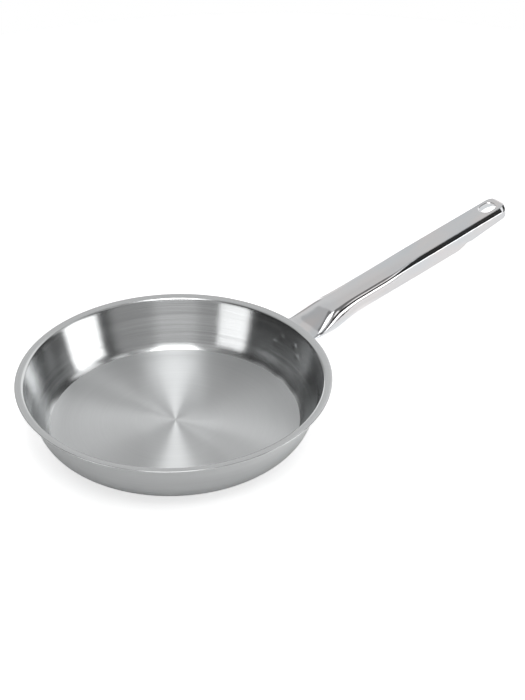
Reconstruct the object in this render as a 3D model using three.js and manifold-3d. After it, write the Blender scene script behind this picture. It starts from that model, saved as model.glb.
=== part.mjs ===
// A lyonnaise frying pan: spun shell, sandwich base, spot-welded tube handle with a hanging hole.
// Millimetres, +Z up. The origin is the middle of the face that the pan stands on. The handle points to +X.
import * as THREE from "three";
import { mergeVertices } from "three/addons/utils/BufferGeometryUtils.js";
import Module from "manifold-3d";

const wasm = await Module();
wasm.setup();
const degrees = THREE.MathUtils.degToRad;

// Shell
const RIM_DIAMETER = 240;
const PAN_DEPTH = 41;
const SHEET = 1;
const WALL_FLARE = degrees(17.3);
const FLOOR_FILLET = 19.3;
const LIP_WIDTH = 6.5;
const LIP_RISE = 0.5;
const LIP_BEND = 2;

// Sandwich base
const CAP_DIAMETER = 168;
const CAP_SHEET = 0.8;
const CAP_CORNER = 4;
const CORE_THICKNESS = 5;
const FOIL_THICKNESS = 0.2;
const BASE_CLEARANCE = 0.3;

// Handle tube
const TUBE_WIDTH = 26.8;
const TUBE_DEPTH = 18.4;
const TUBE_SHEET = 1;
const HANDLE_REACH = 218.5;
const HANDLE_RISE = degrees(10);
const AXIS_BELOW_RIM = 3.7;

// Handle root, pressed flat and bent down against the wall
const FLANGE_WIDTH = 36.6;
const FLANGE_LENGTH = 17;
const FLANGE_GAP = 0.6;
const FLANGE_SEAT = 0.3;
const ROOT_DROP = 1.5;
const ROOT_BEND = 5;
const ROOT_TAPER = 36;
const BEAD_HEIGHT = 1.5;
const BEAD_LENGTH = 13;
// Shares of the flat root's half width
const BEAD_PLACE = 0.82;
const BEAD_SPREAD = 0.12;
// How square the folded sides are, where 1 is an ellipse
const FOLD_POWER = 0.4;

// Handle end, pressed up from below round the hanging hole
const END_ROUND = 10;
const END_SHOULDER = 4;
const END_EDGE_DROP = 4;
const END_TAPER = 34;
const HOLE_LENGTH = 14.6;
const HOLE_WIDTH = 11;
const HOLE_INSET = 15.4;
const HOLE_MARGIN = 5.1;
const POCKET_STEP = 0.05;

// Spot welds, as distances from the flange's lower edge and from its side edges
const WELD_DIAMETER = 5.6;
const WELD_SKIN = 0.45;
const WELD_CLEARANCE = 0.3;
const WELD_MARK_DEPTH = 0.12;
const WELD_ROWS = [
  { height: 13.6, fromEdge: 10.3 },
  { height: 6.8, fromEdge: 4.3 },
];

// Facets
const TURN_STEPS = 64;
const RING_POINTS = 36;
const WELD_SIDES = 24;
const FILLET_STEPS = 9;
const BEND_STEPS = 5;

// Levels and radii that follow from the sizes above
const coreBottom = CAP_SHEET + FOIL_THICKNESS;
const coreTop = coreBottom + CORE_THICKNESS;
const shellBottom = coreTop + FOIL_THICKNESS;
const floorLevel = shellBottom + SHEET;
const rimLevel = floorLevel + PAN_DEPTH;
const rimRadius = RIM_DIAMETER / 2;
const capRadius = CAP_DIAMETER / 2;
const coreRadius = capRadius - CAP_SHEET - BASE_CLEARANCE;
const wallSlope = Math.tan(WALL_FLARE);

const vector2 = (x, y) => new THREE.Vector2(x, y);
const smooth = (from, to, value) => THREE.MathUtils.smoothstep(value, from, to);
const mix = THREE.MathUtils.lerp;

// Where two straight lines, each given by a point and a direction, meet.
function meeting(pointA, directionA, pointB, directionB) {
  const between = pointB.clone().sub(pointA);
  const along = between.cross(directionB) / directionA.cross(directionB);
  return pointA.clone().addScaledVector(directionA, along);
}

// The points of a round corner between two straight runs.
function roundCorner(before, corner, after, radius, steps) {
  const back = before.clone().sub(corner).normalize();
  const ahead = after.clone().sub(corner).normalize();
  const half = Math.acos(THREE.MathUtils.clamp(back.dot(ahead), -1, 1)) / 2;
  const middle = back.clone().add(ahead).normalize();
  const centre = corner.clone().addScaledVector(middle, radius / Math.sin(half));
  const start = corner.clone().addScaledVector(back, radius / Math.tan(half));
  const end = corner.clone().addScaledVector(ahead, radius / Math.tan(half));
  const from = start.sub(centre).angle();
  const turn = Math.atan2(Math.sin(end.sub(centre).angle() - from), Math.cos(end.angle() - from));
  const points = [];
  for (let i = 0; i <= steps; i += 1) {
    const angle = from + (turn * i) / steps;
    points.push(vector2(centre.x + radius * Math.cos(angle), centre.y + radius * Math.sin(angle)));
  }
  return points;
}

// A solid of revolution about Z. The profile runs out along the upper face and back along the lower one.
function turned(profile) {
  return new THREE.LatheGeometry(profile.toReversed(), TURN_STEPS).rotateX(Math.PI / 2);
}

// A closed skin over rings of equal point counts, with a fan over each end.
function loft(rings) {
  const count = rings[0].length;
  const positions = [];
  const faces = [];
  for (const ring of rings) {
    for (const point of ring) {
      positions.push(point.x, point.y, point.z);
    }
  }
  for (let row = 0; row + 1 < rings.length; row += 1) {
    for (let i = 0; i < count; i += 1) {
      const here = row * count + i;
      const next = row * count + ((i + 1) % count);
      faces.push(here, next, here + count);
      faces.push(next, next + count, here + count);
    }
  }
  const lastRow = (rings.length - 1) * count;
  for (let i = 1; i + 1 < count; i += 1) {
    faces.push(0, i + 1, i);
    faces.push(lastRow, lastRow + i, lastRow + i + 1);
  }
  const geometry = new THREE.BufferGeometry();
  geometry.setAttribute("position", new THREE.Float32BufferAttribute(positions, 3));
  geometry.setIndex(faces);
  return geometry;
}

// A geometry as a solid for cutting. Triangles that shrink to a line are left out.
function solidOf(geometry) {
  const bare = new THREE.BufferGeometry();
  bare.setAttribute("position", geometry.getAttribute("position"));
  bare.setIndex(geometry.index);
  const merged = mergeVertices(bare, 1e-4);
  const index = merged.index.array;
  const kept = [];
  for (let i = 0; i < index.length; i += 3) {
    const [a, b, c] = [index[i], index[i + 1], index[i + 2]];
    if (a !== b && b !== c && c !== a) {
      kept.push(a, b, c);
    }
  }
  const vertProperties = merged.getAttribute("position").array;
  const triVerts = new Uint32Array(kept);
  return new wasm.Manifold(new wasm.Mesh({ numProp: 3, vertProperties, triVerts }));
}

function geometryOf(solid) {
  const mesh = solid.getMesh();
  const geometry = new THREE.BufferGeometry();
  geometry.setAttribute("position", new THREE.BufferAttribute(mesh.vertProperties, 3));
  geometry.setIndex(new THREE.BufferAttribute(mesh.triVerts, 1));
  geometry.computeVertexNormals();
  return geometry;
}

function cut(geometry, cutters) {
  let solid = solidOf(geometry);
  for (const cutter of cutters) {
    solid = solid.subtract(solidOf(cutter));
  }
  return geometryOf(solid);
}

const pan = new THREE.Group();

function addPart(name, geometry, colour, roughness, metalness = 1) {
  const material = new THREE.MeshStandardMaterial({ color: colour, roughness, metalness });
  const mesh = new THREE.Mesh(geometry, material);
  mesh.name = name;
  pan.add(mesh);
  return mesh;
}

// The two straight lines of the inside profile: the wall and the lip that bends out from it.
const wallDirection = vector2(Math.sin(WALL_FLARE), Math.cos(WALL_FLARE));
const wallNormal = vector2(Math.cos(WALL_FLARE), -Math.sin(WALL_FLARE));
const lipCorner = vector2(rimRadius - LIP_WIDTH, rimLevel - LIP_RISE);
const lipDirection = vector2(LIP_WIDTH, LIP_RISE).normalize();
const lipNormal = vector2(lipDirection.y, -lipDirection.x);

// The point of the wall at a height, moved out along the wall's normal.
function wallPoint(height, outward) {
  const inside = vector2(lipCorner.x - (lipCorner.y - height) * wallSlope, height);
  return inside.addScaledVector(wallNormal, outward);
}

// One face of the shell sheet, from the axis to the lip's edge. Depth is 0 inside and SHEET outside.
function shellFace(depth) {
  const level = floorLevel - depth;
  const middle = vector2(0, level);
  const wall = wallPoint(lipCorner.y, depth);
  const lip = lipCorner.clone().addScaledVector(lipNormal, depth);
  const foot = meeting(middle, vector2(1, 0), wall, wallDirection);
  const bend = meeting(wall, wallDirection, lip, lipDirection);
  const edge = lip.clone().addScaledVector(lipDirection, LIP_WIDTH - SHEET / 2);
  return [
    middle,
    ...roundCorner(middle, foot, bend, FLOOR_FILLET + depth, FILLET_STEPS),
    ...roundCorner(foot, bend, edge, LIP_BEND + SHEET - depth, BEND_STEPS),
    edge,
  ];
}

function shellProfile() {
  const inside = shellFace(0);
  const outside = shellFace(SHEET);
  const edgeCentre = inside.at(-1).clone().add(outside.at(-1)).multiplyScalar(0.5);
  const spread = inside.at(-1).clone().sub(edgeCentre);
  const edge = [-45, -90, -135].map((angle) => spread.clone().rotateAround(vector2(0, 0), degrees(angle)));
  return [...inside, ...edge.map((offset) => offset.add(edgeCentre)), ...outside.reverse()];
}

// The handle's guide line in the XZ plane: up the flange, round the root bend, and out along the tube.
// The tube's axis runs ROOT_DROP above it.
const flangeThickness = 2 * TUBE_SHEET + FLANGE_GAP;
const flangeOffset = SHEET + FLANGE_SEAT + flangeThickness / 2;
const tubeDirection = vector2(Math.cos(HANDLE_RISE), Math.sin(HANDLE_RISE));
const tubeUp = vector2(-tubeDirection.y, tubeDirection.x);
const rootLine = vector2(rimRadius, rimLevel - AXIS_BELOW_RIM).addScaledVector(tubeUp, -ROOT_DROP);
const rootCorner = meeting(wallPoint(lipCorner.y, flangeOffset), wallDirection, rootLine, tubeDirection);
const bendAngle = Math.PI / 2 - WALL_FLARE - HANDLE_RISE;
const bendTangent = ROOT_BEND * Math.tan(bendAngle / 2);
const flangeTop = rootCorner.clone().addScaledVector(wallDirection, -bendTangent);
const tubeStart = rootCorner.clone().addScaledVector(tubeDirection, bendTangent);
const bendCentre = flangeTop.clone().addScaledVector(wallNormal, ROOT_BEND);

// Distances along the guide line from the flange's lower edge.
const bendFrom = FLANGE_LENGTH;
const tubeFrom = bendFrom + ROOT_BEND * bendAngle;
const handleEnd = tubeFrom + (rimRadius + HANDLE_REACH - tubeStart.x) / tubeDirection.x;
const holeAt = handleEnd - HOLE_INSET;
const pressedFrom = holeAt - HOLE_LENGTH / 2 - HOLE_MARGIN;
const pressedSheet = 2 * TUBE_SHEET;
const pocketEnd = handleEnd - pressedSheet;

// The place and the upward side of the guide line at a distance.
function stationAt(distance) {
  if (distance <= bendFrom) {
    const place = flangeTop.clone().addScaledVector(wallDirection, distance - bendFrom);
    return { place, up: wallNormal.clone().negate() };
  }
  if (distance >= tubeFrom) {
    const place = tubeStart.clone().addScaledVector(tubeDirection, distance - tubeFrom);
    return { place, up: tubeUp };
  }
  const turn = -(distance - bendFrom) / ROOT_BEND;
  const up = wallNormal.clone().negate().rotateAround(vector2(0, 0), turn);
  return { place: bendCentre.clone().addScaledVector(up, ROOT_BEND), up };
}

const signedPower = (value, power) => Math.sign(value) * Math.abs(value) ** power;

// The tube's section, and the channel that it is pressed into at the end.
// Inset is 0 for the outer face and TUBE_SHEET for the inner one.
function tubeSection(angle, distance, inset) {
  const across = Math.cos(angle);
  const bulge = Math.abs(Math.sin(angle));
  const isTop = Math.sin(angle) >= 0;
  const edgeFrom = pressedFrom - END_TAPER / 2;
  const edgeRise = Math.max(0, distance - edgeFrom) / (handleEnd - edgeFrom);
  const edgeDrop = END_EDGE_DROP * smooth(pressedFrom - END_TAPER, edgeFrom, distance) * (1 - edgeRise);
  const pressed = smooth(pressedFrom - END_TAPER, pressedFrom, distance);
  const pastRound = Math.max(0, distance - (handleEnd - END_ROUND)) / END_ROUND;
  const pastShoulder = Math.max(0, distance - (handleEnd - END_SHOULDER)) / END_SHOULDER;
  const narrowing = Math.sqrt(Math.max(0, 1 - pastRound ** 2));
  const lowering = END_SHOULDER * (1 - Math.sqrt(Math.max(0, 1 - pastShoulder ** 2)));
  const edge = inset * pressed - edgeDrop;
  const top = TUBE_DEPTH / 2 - lowering - inset;
  const roof = distance < pocketEnd ? TUBE_DEPTH / 2 - lowering - pressedSheet : edge;
  const underside = mix(-TUBE_DEPTH / 2, roof, pressed) + inset;
  const halfWidth = TUBE_WIDTH / 2 - inset;
  const foldedIn = isTop || inset > 0 || distance >= pocketEnd ? 0 : pressedSheet * pressed;
  const level = edge + ((isTop ? top : underside) - edge) * bulge;
  return vector2((halfWidth - foldedIn) * narrowing * across, ROOT_DROP + level);
}

// The flat root's section, with a bead along each folded side where the tube starts to close.
function flatSection(angle, distance, inset) {
  const across = Math.cos(angle);
  const rise = Math.sin(angle);
  const bead = smooth(tubeFrom, tubeFrom + BEAD_LENGTH, distance);
  const fold = BEAD_HEIGHT * bead * Math.exp(-(((Math.abs(across) - BEAD_PLACE) / BEAD_SPREAD) ** 2));
  const half = signedPower(rise, FOLD_POWER) * (flangeThickness / 2 - inset) + Math.sign(rise) * fold;
  return vector2((FLANGE_WIDTH / 2 - inset) * across, Math.abs(rise) < 1e-9 ? 0 : half);
}

// One ring of the handle. Near the wall its width is wrapped round the pan's axis, to lie on the shell.
function handleRing(distance, inset) {
  const { place, up } = stationAt(distance);
  const flat = 1 - smooth(tubeFrom + ROOT_BEND / 2, tubeFrom + ROOT_TAPER, distance);
  const ring = [];
  for (let i = 0; i < RING_POINTS; i += 1) {
    const angle = (2 * Math.PI * i) / RING_POINTS;
    const section = tubeSection(angle, distance, inset).lerp(flatSection(angle, distance, inset), flat);
    const x = place.x + up.x * section.y;
    const z = place.y + up.y * section.y;
    const wrap = section.x / x;
    const wrapped = new THREE.Vector3(x * Math.cos(wrap), x * Math.sin(wrap), z);
    ring.push(new THREE.Vector3(x, section.x, z).lerp(wrapped, flat));
  }
  return ring;
}

const evenly = (from, to, steps) => Array.from({ length: steps }, (_, i) => mix(from, to, i / steps));

// Distances that come closer together towards an end, as points spread evenly round a quarter circle do.
function roundedOff(from, to, steps) {
  return evenly(0, Math.PI / 2, steps).map((angle) => mix(from, to, Math.sin(angle)));
}

// Rings run inside from where the tube closes to the flange's edge, and then outside to the handle's end.
function handleSkin() {
  const hollow = [
    ...evenly(0, bendFrom, 3),
    ...evenly(bendFrom, tubeFrom, 6),
    ...evenly(tubeFrom, tubeFrom + ROOT_TAPER, 11),
    tubeFrom + ROOT_TAPER,
    ...evenly(pressedFrom - END_TAPER, pressedFrom, 9),
  ];
  const beforePocketEnd = pocketEnd - POCKET_STEP;
  const round = roundedOff(handleEnd - END_ROUND, handleEnd, 8);
  const end = [...round, beforePocketEnd, pocketEnd].sort((a, b) => a - b);
  const outside = [...hollow, pressedFrom, ...end].map((distance) => handleRing(distance, 0));
  const inside = hollow.map((distance) => handleRing(distance, TUBE_SHEET));
  return loft([...inside.reverse(), ...outside]);
}

// A slot through the pressed end, square to the handle.
function hangingHole() {
  const half = (HOLE_LENGTH - HOLE_WIDTH) / 2;
  const outline = new THREE.Shape();
  outline.absarc(half, 0, HOLE_WIDTH / 2, -Math.PI / 2, Math.PI / 2);
  outline.absarc(-half, 0, HOLE_WIDTH / 2, Math.PI / 2, (3 * Math.PI) / 2);
  outline.closePath();
  const depth = TUBE_DEPTH / 2;
  const slot = new THREE.ExtrudeGeometry(outline, { depth, bevelEnabled: false, curveSegments: 12 });
  const { place } = stationAt(holeAt);
  slot.translate(0, 0, depth / 2);
  slot.rotateY(-HANDLE_RISE);
  slot.translate(place.x, 0, place.y);
  return slot;
}

const upright = new THREE.Vector3(0, 0, 1);

// The place and direction of each spot weld, square to the wall.
function weldPlaces() {
  const places = [];
  for (const row of WELD_ROWS) {
    const aside = FLANGE_WIDTH / 2 - row.fromEdge;
    for (const side of [-aside, aside]) {
      const height = stationAt(row.height).place.y;
      const seat = wallPoint(height, 0);
      const angle = side / seat.x;
      const normal = new THREE.Vector3(wallNormal.x, 0, wallNormal.y).applyAxisAngle(upright, angle);
      const position = new THREE.Vector3(seat.x * Math.cos(angle), seat.x * Math.sin(angle), seat.y);
      places.push({ position, normal });
    }
  }
  return places;
}

const weldStack = SHEET + FLANGE_SEAT + flangeThickness;

// A round bar along a weld's normal, between two depths from the shell's inner face.
function weldBar(place, diameter, from, to) {
  const bar = new THREE.CylinderGeometry(diameter / 2, diameter / 2, to - from, WELD_SIDES);
  const turn = new THREE.Quaternion().setFromUnitVectors(new THREE.Vector3(0, 1, 0), place.normal);
  const centre = place.position.clone().addScaledVector(place.normal, (from + to) / 2);
  return bar.applyQuaternion(turn).translate(centre.x, centre.y, centre.z);
}

// Each nugget lies inside the stack of sheets, under a skin of whole metal at both ends.
const welds = weldPlaces();
const nuggetEnd = weldStack - WELD_SKIN;
const nuggets = welds.map((place) => weldBar(place, WELD_DIAMETER, WELD_SKIN, nuggetEnd));
const pocketDiameter = WELD_DIAMETER + 2 * WELD_CLEARANCE;
const weldPockets = welds.map((place) => weldBar(place, pocketDiameter, WELD_SKIN, nuggetEnd));
// The shallow mark that the electrode leaves on the inside of the wall.
const weldMarks = welds.map((place) => weldBar(place, WELD_DIAMETER, -WELD_DIAMETER, WELD_MARK_DEPTH));

function discProfile(radius, bottom, top) {
  return [vector2(0, top), vector2(radius, top), vector2(radius, bottom), vector2(0, bottom)];
}

function coreProfile() {
  const corner = vector2(coreRadius, coreBottom);
  const above = vector2(coreRadius, coreTop);
  const middle = vector2(0, coreBottom);
  const edge = roundCorner(above, corner, middle, CAP_CORNER - CAP_SHEET, BEND_STEPS);
  return [vector2(0, coreTop), above, ...edge, middle];
}

// A shallow cup: up to the shell outside, and back down along the inside of its wall.
function capProfile() {
  const inner = capRadius - CAP_SHEET;
  const insideTop = vector2(inner, shellBottom);
  const outsideTop = vector2(capRadius, shellBottom);
  const insideMiddle = vector2(0, CAP_SHEET);
  const outsideMiddle = vector2(0, 0);
  const innerCorner = vector2(inner, CAP_SHEET);
  const outerCorner = vector2(capRadius, 0);
  return [
    insideMiddle,
    ...roundCorner(insideMiddle, innerCorner, insideTop, CAP_CORNER - CAP_SHEET, BEND_STEPS),
    insideTop,
    outsideTop,
    ...roundCorner(outsideTop, outerCorner, outsideMiddle, CAP_CORNER, BEND_STEPS),
    outsideMiddle,
  ];
}

const lowerFoilRadius = capRadius - CAP_CORNER;

addPart("pan_shell", cut(turned(shellProfile()), [...weldPockets, ...weldMarks]), 0xc4c6c6, 0.32);
addPart("upper_braze_foil", turned(discProfile(coreRadius, coreTop, shellBottom)), 0xbdbfc2, 0.5);
addPart("diffuser_disc", turned(coreProfile()), 0xd3d5d8, 0.45);
addPart("lower_braze_foil", turned(discProfile(lowerFoilRadius, CAP_SHEET, coreBottom)), 0xbdbfc2, 0.5);
addPart("base_cap", turned(capProfile()), 0xb5b7b8, 0.38);
addPart("handle_tube", cut(handleSkin(), [hangingHole(), ...weldPockets]), 0xd6d8da, 0.12);
for (const [i, nugget] of nuggets.entries()) {
  addPart(`spot_weld_${i + 1}`, nugget, 0xa9abac, 0.4);
}

export default pan;
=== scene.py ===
# %% [markdown]
# A lyonnaise pan in stainless steel
# The real object is a shallow frying pan: a spun steel shell with a flat pouring lip, a sandwich base
# under it, and a hollow tube handle that is spot-welded to the wall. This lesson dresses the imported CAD
# model of that pan. The CAD model is the fixed frame, so every piece made here sits exactly where its
# CAD node sits, in metres.

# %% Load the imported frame
import math

import bpy
import numpy as np
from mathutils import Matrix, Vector


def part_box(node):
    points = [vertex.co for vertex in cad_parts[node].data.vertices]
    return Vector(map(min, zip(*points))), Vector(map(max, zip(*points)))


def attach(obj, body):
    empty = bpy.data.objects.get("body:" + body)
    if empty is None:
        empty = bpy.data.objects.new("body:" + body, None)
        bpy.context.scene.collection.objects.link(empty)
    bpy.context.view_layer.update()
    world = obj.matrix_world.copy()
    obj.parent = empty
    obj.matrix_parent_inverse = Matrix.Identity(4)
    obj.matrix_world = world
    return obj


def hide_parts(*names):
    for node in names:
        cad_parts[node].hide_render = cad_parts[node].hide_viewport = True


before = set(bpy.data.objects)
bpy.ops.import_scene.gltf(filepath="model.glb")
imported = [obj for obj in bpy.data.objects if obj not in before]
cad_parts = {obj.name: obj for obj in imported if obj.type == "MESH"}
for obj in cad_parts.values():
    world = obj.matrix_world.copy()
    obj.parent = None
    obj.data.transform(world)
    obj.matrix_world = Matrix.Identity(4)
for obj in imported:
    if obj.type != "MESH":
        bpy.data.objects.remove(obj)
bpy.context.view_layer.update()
scene = bpy.context.scene
scene.view_settings.view_transform = "Standard"
print("CAD nodes:", sorted(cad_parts))

# %% [markdown]
# The camera
# The photograph was taken from above, with a long lens. A camera could be placed by typing in a location
# and a rotation. It is easier to get right as an angle round the object, an angle above the floor and a
# distance, all measured from the point that it looks at.

# %% Place the camera
VIEW_AZIMUTH = math.radians(-37)
VIEW_ELEVATION = math.radians(33.07)
VIEW_DISTANCE = 1.3
VIEW_AIM = Vector((0.10145, 0.0233, 0.0193))
LENS_MM = 82.75
SENSOR_MM = 36

toward_camera = Vector(
    (
        math.sin(VIEW_AZIMUTH) * math.cos(VIEW_ELEVATION),
        -math.cos(VIEW_AZIMUTH) * math.cos(VIEW_ELEVATION),
        math.sin(VIEW_ELEVATION),
    )
)
camera = bpy.data.objects.new("camera", bpy.data.cameras.new("camera"))
scene.collection.objects.link(camera)
camera.data.lens = LENS_MM
camera.data.sensor_width = SENSOR_MM
camera.location = VIEW_AIM + toward_camera * VIEW_DISTANCE
camera.rotation_mode = "QUATERNION"
camera.rotation_quaternion = (-toward_camera).to_track_quat("-Z", "Y")
scene.camera = camera
print("camera at", [round(v, 3) for v in camera.location])

# %% [markdown]
# A helper for node trees
# Every material below is built from nodes. This small class adds a node, sets its options and inputs,
# and links any input that is given as another node's output. The shorter methods are for the nodes that
# come up most, so that each material stays short enough to read as a recipe.


# %% Node helper
class Nodes:
    """Adds nodes to one tree."""

    def __init__(self, tree):
        self.tree = tree

    def add(self, kind, inputs=None, **options):
        node = self.tree.nodes.new(kind)
        for name, value in options.items():
            setattr(node, name, value)
        for key, value in (inputs or {}).items():
            if isinstance(value, bpy.types.NodeSocket):
                self.tree.links.new(value, node.inputs[key])
            else:
                node.inputs[key].default_value = value
        return node

    def math(self, operation, first, second=0.0):
        return self.add("ShaderNodeMath", {0: first, 1: second}, operation=operation).outputs[0]

    def vector(self, operation, first, second=(0, 0, 0)):
        return self.add("ShaderNodeVectorMath", {0: first, 1: second}, operation=operation).outputs[0]

    def length(self, vector):
        return self.add("ShaderNodeVectorMath", {0: vector}, operation="LENGTH").outputs["Value"]

    def mix(self, factor, first, second):
        return self.add("ShaderNodeMix", {"Factor": factor, "A": first, "B": second}).outputs[0]

    def mix_colours(self, factor, first, second):
        shades = {"Factor": factor, "A": first, "B": second}
        return self.add("ShaderNodeMix", shades, data_type="RGBA").outputs[2]

    def ramp(self, value, low, high, at_low=0.0, at_high=1.0, **options):
        """Rises from at_low, where the value is low or less, to at_high, where it is high or more."""
        span = {"Value": value, "From Min": low, "From Max": high, "To Min": at_low, "To Max": at_high}
        return self.add("ShaderNodeMapRange", span, **options).outputs[0]

    def window(self, value, half, soft):
        """1 within half of zero, falling smoothly to 0 over soft."""
        return self.ramp(value, half, half + soft, 1.0, 0.0, interpolation_type="SMOOTHSTEP")


def new_material(name):
    """A material with no nodes yet, and the helper for its tree."""
    material = bpy.data.materials.new(name)
    material.use_nodes = True
    material.node_tree.nodes.clear()
    return material, Nodes(material.node_tree)


print("helper ready")

# %% [markdown]
# The studio
# Polished steel has no look of its own: it shows the room. An image of a room could light it, but plain
# cards can be moved one at a time until each reflection sits where it should. So the room is painted on
# the world in cards, each one a window of compass angle and height. The low cards are the room's walls,
# which the pan's wall, lip and handle show. The high ones are its ceiling, which the brushed floor and
# the top of the handle show. What no card covers stays dark, and gives the steel its dark bands. Rays
# from the camera see plain white instead, so the background stays white.

# %% World cards
# Compass middle, half width, height from, height to and soft edge, all in degrees, then the light level.
# A later card covers an earlier one.
STUDIO_CARDS = [
    (43, 32, -20, 60, 10, 0.75),
    (28, 14, 8, 42, 8, 1.25),
    (90, 12, -20, 30, 8, 0.45),
    (93, 26, 34, 60, 8, 0.8),
    (243, 38, -20, 60, 10, 0.35),
    (233, 12, -20, 45, 10, 0.5),
    (128, 16, 40, 56, 6, 0.3),
    (0, 181, 54, 95, 4, 0.2),
    (233, 45, 54, 95, 8, 0.75),
    (45, 50, 54, 95, 14, 0.72),
    (150, 32, 54, 76, 10, 0.25),
    (114, 13, 46, 64, 5, 0.55),
    (-60, 8, 51, 61, 3, 1.3),
    (-66, 12, -14, 6, 3, 0.8),
    (75, 8, -10, 14, 4, 1.6),
    (-33, 11, 28, 48, 5, 1.2),
    (220, 25, 36, 60, 10, 0.45),
]
DARK_ROOM = 0.03

world = bpy.data.worlds.new("studio")
scene.world = world
world.use_nodes = True
world.node_tree.nodes.clear()
sky = Nodes(world.node_tree)
ray = sky.add("ShaderNodeTexCoord").outputs["Generated"]
ray_parts = sky.add("ShaderNodeSeparateXYZ", {0: ray}).outputs
compass = sky.math("ARCTAN2", ray_parts["Y"], ray_parts["X"])
height = sky.math("ARCSINE", ray_parts["Z"])
level = DARK_ROOM
for middle, half, low, high, soft, card_level in STUDIO_CARDS:
    away = sky.math("SUBTRACT", compass, math.radians(middle))
    away = sky.add("ShaderNodeMath", {0: away, 1: math.pi, 2: -math.pi}, operation="WRAP").outputs[0]
    across = sky.window(sky.math("ABSOLUTE", away), math.radians(half), math.radians(soft))
    raised = sky.math("ABSOLUTE", sky.math("SUBTRACT", height, math.radians((low + high) / 2)))
    upward = sky.window(raised, math.radians((high - low) / 2), math.radians(soft))
    level = sky.mix(sky.math("MULTIPLY", across, upward), level, card_level)
light_path = sky.add("ShaderNodeLightPath").outputs
seen = sky.math("MAXIMUM", light_path["Is Camera Ray"], light_path["Is Transmission Ray"])
strength = sky.mix(seen, level, 1.0)
background = sky.add("ShaderNodeBackground", {"Color": (1, 1, 1, 1), "Strength": strength})
sky.add("ShaderNodeOutputWorld", {"Surface": background.outputs[0]})
print("studio cards:", len(STUDIO_CARDS))

# %% [markdown]
# The floor
# The pan stands on a wide white disc. A brighter lamp would make it white but would burn out the steel,
# so the disc gives off a little light of its own, only to the camera and to reflections. To the camera
# it is even, and the pan's own shadow still falls on it. In reflections the glow is painted light: a
# painted shadow under the pan and a painted pool of light in a ring round it, dimmer further off, as a
# table under a lamp is.

# %% White floor
FLOOR_RADIUS = 0.8
FLOOR_MIDDLE = 0.1
FLOOR_STEPS = 96
FLOOR_WHITE = 0.9
LIFT_SEEN = 0.6
# Glow that reflections see: painted shadow under the pan, painted pool of light round it, less far off
LIFT_IN_PAINTED_SHADOW = 0.0
LIFT_IN_PAINTED_POOL = 0.6
LIFT_PAST_PAINTED_POOL = 0.27
LIFT_MIDDLE = (-0.02, 0, 0)
# Distances from the middle of the painted shadow and pool of light, in metres
LIFT_FROM = 0.12
LIFT_FULL = 0.165
LIFT_FADES_FROM = 0.2
LIFT_FADED = 0.27


def floor_paint():
    """Matt white with an even lift for the camera, and a painted shadow and pool of light for reflections.
    """
    paint, nodes = new_material("white_floor")
    paint.cycles.emission_sampling = "NONE"
    path = nodes.add("ShaderNodeLightPath").outputs
    seen_lift = nodes.math("MULTIPLY", path["Is Camera Ray"], LIFT_SEEN)
    mirrored = nodes.math("MAXIMUM", path["Is Glossy Ray"], path["Is Transmission Ray"])
    place = nodes.add("ShaderNodeTexCoord").outputs["Object"]
    radius = nodes.length(nodes.vector("SUBTRACT", place, LIFT_MIDDLE))
    # Reflections see a painted shadow under the pan and a painted pool of light round it, dimmer further
    # off
    painted_shadow_and_pool = nodes.ramp(radius, LIFT_FROM, LIFT_FULL, LIFT_IN_PAINTED_SHADOW, LIFT_IN_PAINTED_POOL)
    painted_pool_with_falloff = nodes.mix(nodes.ramp(radius, LIFT_FADES_FROM, LIFT_FADED), painted_shadow_and_pool, LIFT_PAST_PAINTED_POOL)
    lift = nodes.math("MAXIMUM", seen_lift, nodes.math("MULTIPLY", mirrored, painted_pool_with_falloff))
    glow = nodes.add("ShaderNodeEmission", {"Strength": lift})
    matt = nodes.add("ShaderNodeBsdfDiffuse", {"Color": (FLOOR_WHITE, FLOOR_WHITE, FLOOR_WHITE, 1)})
    both = nodes.add("ShaderNodeAddShader", {0: glow.outputs[0], 1: matt.outputs[0]})
    nodes.add("ShaderNodeOutputMaterial", {"Surface": both.outputs[0]})
    return paint


def make_floor():
    """The disc, marked as stage so that it isn't taken for a piece of the pan."""
    turns = [2 * math.pi * i / FLOOR_STEPS for i in range(FLOOR_STEPS)]
    edge = [(FLOOR_MIDDLE + FLOOR_RADIUS * math.cos(a), FLOOR_RADIUS * math.sin(a), 0) for a in turns]
    mesh = bpy.data.meshes.new("floor")
    mesh.from_pydata(edge, [], [list(range(FLOOR_STEPS))])
    mesh.materials.append(floor_paint())
    floor = bpy.data.objects.new("floor", mesh)
    scene.collection.objects.link(floor)
    return floor


make_floor()
print("floor radius", FLOOR_RADIUS)

# %% [markdown]
# Softboxes
# Three soft lamps give the light a direction. The overhead one draws the bright wedges on the pan's
# brushed floor, and the two at the sides make the two bright patches on its wall. A softbox is a
# rectangular area lamp. Its power is worked out from how bright its face should look, so that a lamp
# can change in size and keep its brightness in a reflection.

# %% Lamps
# Name, compass angle, distance, height, height that it faces, width, length, brightness of its face
SOFTBOXES = [
    ("right_softbox", -47, 1.2, 0.45, 0.45, 0.64, 0.41, 3.0),
    ("left_softbox", 185, 1.2, 0.45, 0.45, 0.54, 0.66, 1.9),
    ("overhead_softbox", 233, 0.45, 1.45, 0.0, 0.65, 1.1, 3.05),
]


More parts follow.
